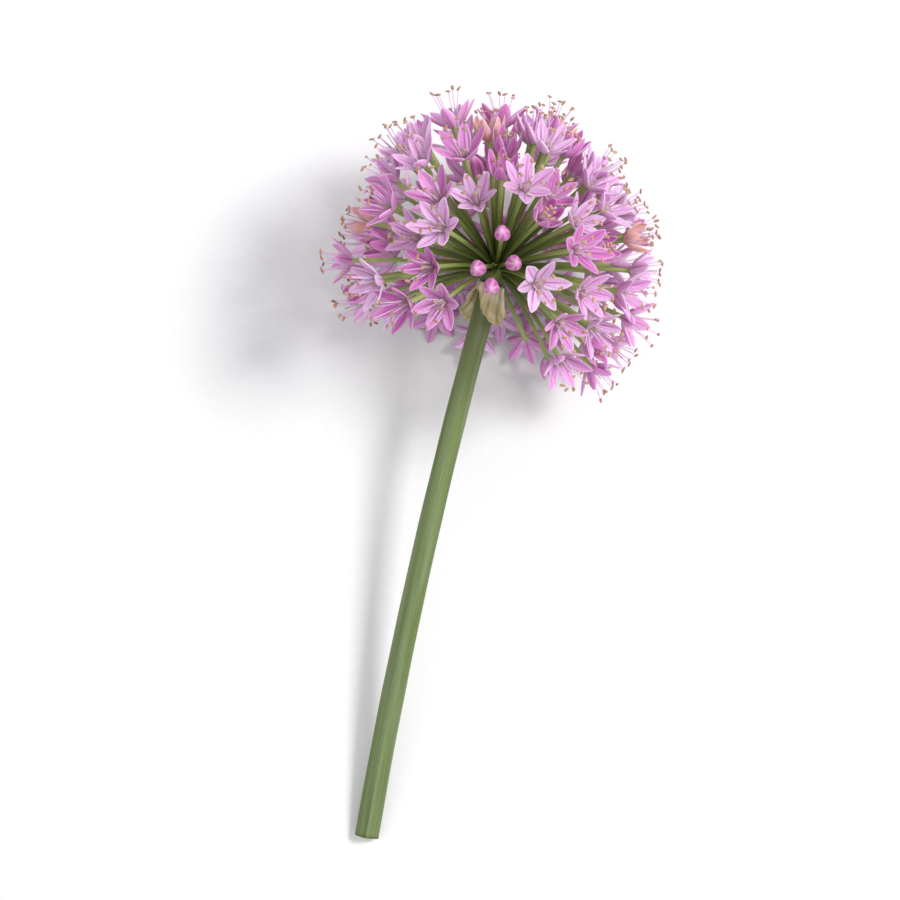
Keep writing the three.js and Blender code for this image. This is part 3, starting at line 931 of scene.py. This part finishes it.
# %% Waxy green skin of the stem
SCAPE_LENGTH, SCAPE_WIDTH, SCAPE_FLATNESS, SCAPE_TAPER = 112, 4.8, 0.84, 0.88
SCAPE_GIRTH = math.pi * SCAPE_WIDTH * (1 + SCAPE_FLATNESS) / 2
RIBS = 26  # half a millimetre apart, coarser than real ones so that they show
SCAPE_GREEN, SCAPE_SHADE, SCAPE_WAX, SCAPE_TOP_PAINTED_SHADE = "#6F7F45", "#546736", "#8C9578", "#636F3A"


def stem_skin():
    material, tree = new_finish("stem_skin")
    around, along, _ = chart_place(tree)
    girth_mm = add(tree, "Math", {0: around, 1: SCAPE_GIRTH}, operation="MULTIPLY")
    length_mm = add(tree, "Math", {0: along, 1: SCAPE_LENGTH}, operation="MULTIPLY")
    on_stem = add(tree, "CombineXYZ", {"X": girth_mm, "Y": length_mm})

    drawn_out = add(tree, "VectorMath", {0: on_stem, 1: (1, 0.012, 1)}, operation="MULTIPLY")
    streak = add(tree, "TexNoise", {"Vector": drawn_out, "Scale": 1.6, "Detail": 5})
    base = tinted(tree, colour(SCAPE_SHADE), SCAPE_GREEN, streak, 0.35, 0.65, ease="LINEAR")
    # painted shade: darker near the head, where the stem runs in under the florets
    base = tinted(tree, base, SCAPE_TOP_PAINTED_SHADE, along, 0.7, 0.95, ease="LINEAR")

    # wax, rubbed off in long patches
    rubbed = add(tree, "VectorMath", {0: on_stem, 1: (1, 0.06, 1)}, operation="MULTIPLY")
    bloom = add(tree, "TexNoise", {"Vector": rubbed, "Scale": 0.5, "Detail": 6})
    base = tinted(tree, base, SCAPE_WAX, bloom, 0.4, 0.7, most=0.5)
    rib_turn = add(tree, "Math", {0: around, 1: RIBS * 2 * math.pi}, operation="MULTIPLY")
    ribs = add(tree, "Math", {0: rib_turn}, operation="COSINE")
    rib_tone = add(tree, "MapRange", {
        "Value": ribs, "From Min": -1, "To Min": 0.9, "To Max": 1.05,
    })
    base = add(tree, "VectorMath", {0: base, "Scale": rib_tone}, operation="SCALE")
    roughness = add(tree, "MapRange", {"Value": bloom, "To Min": 0.3, "To Max": 0.6})
    surface(tree, base, roughness, streak, 0.06, STALK_TISSUE)
    return material


print("ribs, mm apart:", round(SCAPE_GIRTH / RIBS, 2))

# %% The stem's curve and its rings
SCAPE_NECK = 2.5  # from the centre of the head down to the top of the stem
SIDEWAYS_BEND = math.radians(6)
REST_HEIGHT = 1.65  # middle of the cut end above the surface
FLAT_SIDED = 1.35  # 2 is an oval, 1 a rhombus
RIB_HEIGHT = 0.012  # share of the stem's half width
STEM_RINGS, STEM_SIDES = 120, RIBS * 6
SWELLING, SWELLINGS = 0.012, (31, 7)  # share of the half width, and radians of two waves
SUNK_CAP = 0.8  # the skin's own end sinks behind the cut face


def scape_curve():
    neck = HEAD_CENTRE - head_axis * SCAPE_NECK
    bend = neck - head_axis * SCAPE_LENGTH / 2
    cut_slope = math.asin((bend[2] - REST_HEIGHT) / (SCAPE_LENGTH / 2))
    cut_heading = heading(cut_slope, math.radians(HEAD_YAW) - SIDEWAYS_BEND)
    return [bend - cut_heading * SCAPE_LENGTH / 2, bend, neck]


def scape_rings(shares, grown=1.0):
    """Rings across the stem at these shares of its curve, each begun on the underside."""
    middles, tangents = on_curve(scape_curve(), shares)
    side = unit(np.cross(tangents, UP))
    up = np.cross(side, tangents)
    turns = math.pi + np.arange(STEM_SIDES) * 2 * math.pi / STEM_SIDES
    upright, level = abs(np.cos(turns)) ** FLAT_SIDED, abs(np.sin(turns)) ** FLAT_SIDED
    flat = (upright + level) ** (-1 / FLAT_SIDED) * (1 + RIB_HEIGHT * np.cos(RIBS * turns))
    half = SCAPE_WIDTH / 2 * (1 - (1 - SCAPE_TAPER) * np.asarray(shares)) * grown
    upward = np.outer(half * SCAPE_FLATNESS, flat * np.cos(turns))[..., None] * up[:, None]
    aside = np.outer(half, flat * np.sin(turns))[..., None] * side[:, None]
    rings = middles[:, None] + upward + aside
    rings[..., 2] = np.maximum(rings[..., 2], 0)
    return rings


(cut_middle,), (cut_direction,) = on_curve(scape_curve(), [0])


def stem():
    shares = np.linspace(0, 1, STEM_RINGS)
    short, long = (np.sin(waves * shares) for waves in SWELLINGS)
    skins = Skins()
    skins.add(scape_rings(shares, 1 + SWELLING * short * long),
              start=cut_middle + cut_direction * SUNK_CAP)
    skins.piece("stem", stem_skin(), "scape_green", "scape")


stem()

# %% [markdown]
# ## The cut end
#
# The knife left a pale, moist face: a green rim of skin, then pith with rings of darker
# bundles that carried the sap. The stem could keep a flat cap, but the pith sinks a little as it
# dries, so the face is a shallow dish of its own, set in the rim.

# %% Moist pith
PITH_PALE, PITH_GREEN, BUNDLE = "#D5DDB0", "#A9BE7A", "#8AA35C"
BUNDLES = (18, 5, 1)  # round the face, and from the rim to the middle


def moist_pith():
    material, tree = new_finish("moist_pith")
    around, along, _ = chart_place(tree)
    base = tinted(tree, colour(PITH_GREEN), PITH_PALE, along, 0.38, 0.55, ease="LINEAR")
    place = add(tree, "CombineXYZ", {"X": around, "Y": along})
    spaced = add(tree, "VectorMath", {0: place, 1: BUNDLES}, operation="MULTIPLY")
    dots = add(tree, "TexVoronoi", {"Vector": spaced, "Scale": 1})
    base = tinted(tree, base, BUNDLE, dots, 0.4, 0.2, most=0.8)
    roughness = add(tree, "MapRange", {"Value": dots, "To Min": 0.2, "To Max": 0.4})
    surface(tree, base, roughness, dots, 0.03, STALK_TISSUE)
    return material


print("bundles in a ring:", BUNDLES[0])

# %% Cut face
DISH = [(0.97, 0.35), (0.96, -0.03), (0.9, -0.05), (0.78, 0.02), (0.5, 0.1), (0.2, 0.14)]


def cut_face():
    """Rings out over the rim and in over the pith: share of the rim, depth into the stem."""
    from_middle = scape_rings([0])[0] - cut_middle
    rings = [cut_middle + from_middle * share + cut_direction * depth for share, depth in DISH]
    skins = Skins()
    skins.add(np.array(rings)[:, ::-1])
    skins.piece("cut_face", moist_pith(), "scape_green", "scape")


cut_face()

# %% [markdown]
# ## Spathe
#
# Before it bloomed, the head was wrapped in a papery bract. It split into two valves that dried
# and stayed hanging below the florets. A valve is a curved sheet round the stem, creased along
# its veins, with a worn tip. Cloth would sag where dry paper holds its creases, so the creases
# are worked out.

# %% Dry papery bract
PAPER_TAN, PAPER_PALE, PAPER_VEIN, PAPER_TIP = "#BDB285", "#DDD6B4", "#857A4B", "#9C8A60"
# Steps of a pattern round a valve (8.4 mm), and down it and back up (twice 7.7 mm)
PAPER_VEINS, PAPER_CRINKLES = (22, 1.2, 1), (9, 14, 1)
PAPER = {
    "IOR": 1.5, "Subsurface Weight": 0.45, "Subsurface Radius": (1, 0.8, 0.5),
    "Subsurface Scale": 0.5 * MM,
}


def papery_bract():
    material, tree = new_finish("papery_bract")
    around, along, _ = chart_place(tree)
    down = add(tree, "Math", {0: around, 1: 0.5}, operation="PINGPONG")
    place = add(tree, "CombineXYZ", {"X": along, "Y": down})
    patch = add(tree, "TexNoise", {"Vector": place, "Scale": 5, "Detail": 4})
    base = tinted(tree, colour(PAPER_TAN), PAPER_PALE, patch, 0.35, 0.62, ease="LINEAR")
    veined = add(tree, "VectorMath", {0: place, 1: PAPER_VEINS}, operation="MULTIPLY")
    veins = add(tree, "TexNoise", {"Vector": veined, "Scale": 1, "Detail": 2})
    base = tinted(tree, base, PAPER_VEIN, veins, 0.53, 0.63, most=0.75)
    base = tinted(tree, base, PAPER_TIP, down, 0.38, 0.5, most=0.7)
    crinkled = add(tree, "VectorMath", {0: place, 1: PAPER_CRINKLES}, operation="MULTIPLY")
    crinkle = add(tree, "TexNoise", {"Vector": crinkled, "Scale": 1, "Detail": 5})
    height = add(tree, "Math", {0: crinkle, 1: 1.5, 2: veins}, operation="MULTIPLY_ADD")
    roughness = add(tree, "MapRange", {"Value": crinkle, "To Min": 0.4, "To Max": 0.7})
    surface(tree, base, roughness, height, 0.15, PAPER)
    return material


print("paper veins round a valve:", PAPER_VEINS[0])

# %% Two valves
SPATHE_TOP, SPATHE_RADIUS, SPATHE_COLLAR, SPATHE_VALVE = 2.9, 2.75, 1.5, 6.2
SPATHE_FLARE, SPATHE_POINTEDNESS, SPATHE_THICKNESS = 0.3, 1.6, 0.13
SPATHE_TURN, SPATHE_HALF_SWEEP = math.radians(40), math.radians(88)
TORN, CREASE, CRINKLE = 0.22, 0.24, 0.08  # millimetres
VALVE_POINTS_ROUND, VALVE_POINTS_DOWN = 121, 25


def valve_sheet(middle_turn, chance):
    """Points of a valve, round the stem by down it. The sines are waves across half of it."""
    sweep = np.linspace(-1, 1, VALVE_POINTS_ROUND)[:, None]
    down = np.linspace(0, 1, VALVE_POINTS_DOWN)
    pointed = np.cos(SPATHE_HALF_SWEEP * sweep) ** SPATHE_POINTEDNESS
    phases = [chance.uniform(0, 6) for _ in range(5)]
    torn = TORN * np.sin(11 * sweep + phases[0]) * np.sin(29 * sweep + phases[1])
    drop = down * (SPATHE_COLLAR + SPATHE_VALVE * pointed + torn)
    fold = np.sin(16 * sweep + phases[2] + down) + 0.4 * np.sin(37 * sweep + phases[3])
    crinkle = np.sin(26 * sweep + 9 * down) * np.sin(13 * down + phases[4] + 5 * sweep)
    radius = SPATHE_RADIUS + SPATHE_FLARE * drop * down + (CREASE * fold + CRINKLE * crinkle) * down
    turns = middle_turn + SPATHE_HALF_SWEEP * sweep + 0.06 * down * np.sin(7 * sweep + phases[1])
    sideways = np.sin(turns)[..., None] * head_side + np.cos(turns)[..., None] * head_up
    return HEAD_CENTRE - head_axis * (SPATHE_TOP + drop)[..., None] + radius[..., None] * sideways


def spathe():
    chance = random.Random("spathe")
    skins = Skins(1, 2)
    for number in range(2):
        sheet = valve_sheet(SPATHE_TURN + number * math.pi, chance)
        skins.add(sheet_rings(sheet, SPATHE_THICKNESS), cell=(0, number))
    skins.piece("spathe_valves", papery_bract(), "spathe_papery", "spathe")


spathe()

# %% [markdown]
# ## Floor, light and camera
#
# The head lies on a plain pale floor in a soft studio. A key lamp from the upper right gives the
# stem its light and shaded sides, and a weak fill lamp from the left and a white surround soften
# the shadows. The camera looks down, at a right angle to the flower axis, with a long lens, as a
# flower on a table is photographed for a catalogue.

# %% Pale floor
CARD_GREY, CARD_PALE = "#E3E3E2", "#E9E9E8"
CARD_FIBRES = 900  # to a metre
FLOOR_REACH = 3.0  # metres to each side


def matt_card():
    material, tree = new_finish("matt_card")
    place = add(tree, "NewGeometry").outputs["Position"]
    fibres = add(tree, "TexNoise", {"Vector": place, "Scale": CARD_FIBRES, "Detail": 3})
    base = add(tree, "Mix", {
        "Factor": fibres, "A": colour(CARD_GREY), "B": colour(CARD_PALE),
    }, data_type="RGBA")
    surface(tree, base, 0.9, fibres, 0.01)
    return material


def floor():
    mesh = bpy.data.meshes.new("floor")
    signs = [(-1, -1), (1, -1), (1, 1), (-1, 1)]
    corners = [(x * FLOOR_REACH, y * FLOOR_REACH, 0) for x, y in signs]
    mesh.from_pydata(corners, [], [(0, 1, 2, 3)])
    mesh.materials.append(matt_card())
    made = in_scene("floor", mesh)


floor()

# %% Lamps and surround
SURROUND, SURROUND_STRENGTH = "#FBFBFF", 0.81
LAMPS = [  # name, place from the middle of the flower in metres, width, watts
    ("key", (0.46, 0.2, 0.66), 0.25, 5.2),
    ("fill", (-0.6, -0.3, 0.6), 0.6, 0.45),
]


def aim(thing, place, target):
    """Moves a lamp or camera to a place and points it at a target."""
    away = mathutils.Vector(target) - mathutils.Vector(place)
    thing.location = place
    thing.rotation_euler = away.to_track_quat("-Z", "Y").to_euler()


def lamps():
    middle = np.mean(plain_box, axis=0)
    for name, place, width, watts in LAMPS:
        light = bpy.data.lights.new(name, "AREA")
        light.shape, light.size, light.energy = "DISK", width, watts
        aim(in_scene(name, light), middle + place, middle)
        print(name, "lamp, watts:", watts)
    surround = bpy.data.worlds.new("surround")
    surround.use_nodes = True
    surround.node_tree.nodes.clear()
    glow = add(surround.node_tree, "Background", {
        "Color": colour(SURROUND), "Strength": SURROUND_STRENGTH,
    })
    add(surround.node_tree, "OutputWorld", {"Surface": glow})
    bpy.context.scene.world = surround


lamps()

# %% Camera
LENS = 85  # millimetres on a 36 mm wide frame
SEEN_WIDTH = 172 * MM
CAMERA_TURN, CAMERA_CLIMB = math.radians(13), math.radians(78)


def camera():
    seen = bpy.data.cameras.new("camera")
    seen.lens = LENS
    made = in_scene("camera", seen)
    target = np.mean(plain_box, axis=0)
    level = math.cos(CAMERA_CLIMB)
    towards = np.array([
        level * math.sin(CAMERA_TURN), -level * math.cos(CAMERA_TURN), math.sin(CAMERA_CLIMB)])
    distance = SEEN_WIDTH * LENS / seen.sensor_width
    aim(made, target + towards * distance, target)
    bpy.context.scene.camera = made
    print("camera distance, mm:", round(distance / MM))


camera()
bpy.context.scene.view_settings.view_transform = "Standard"
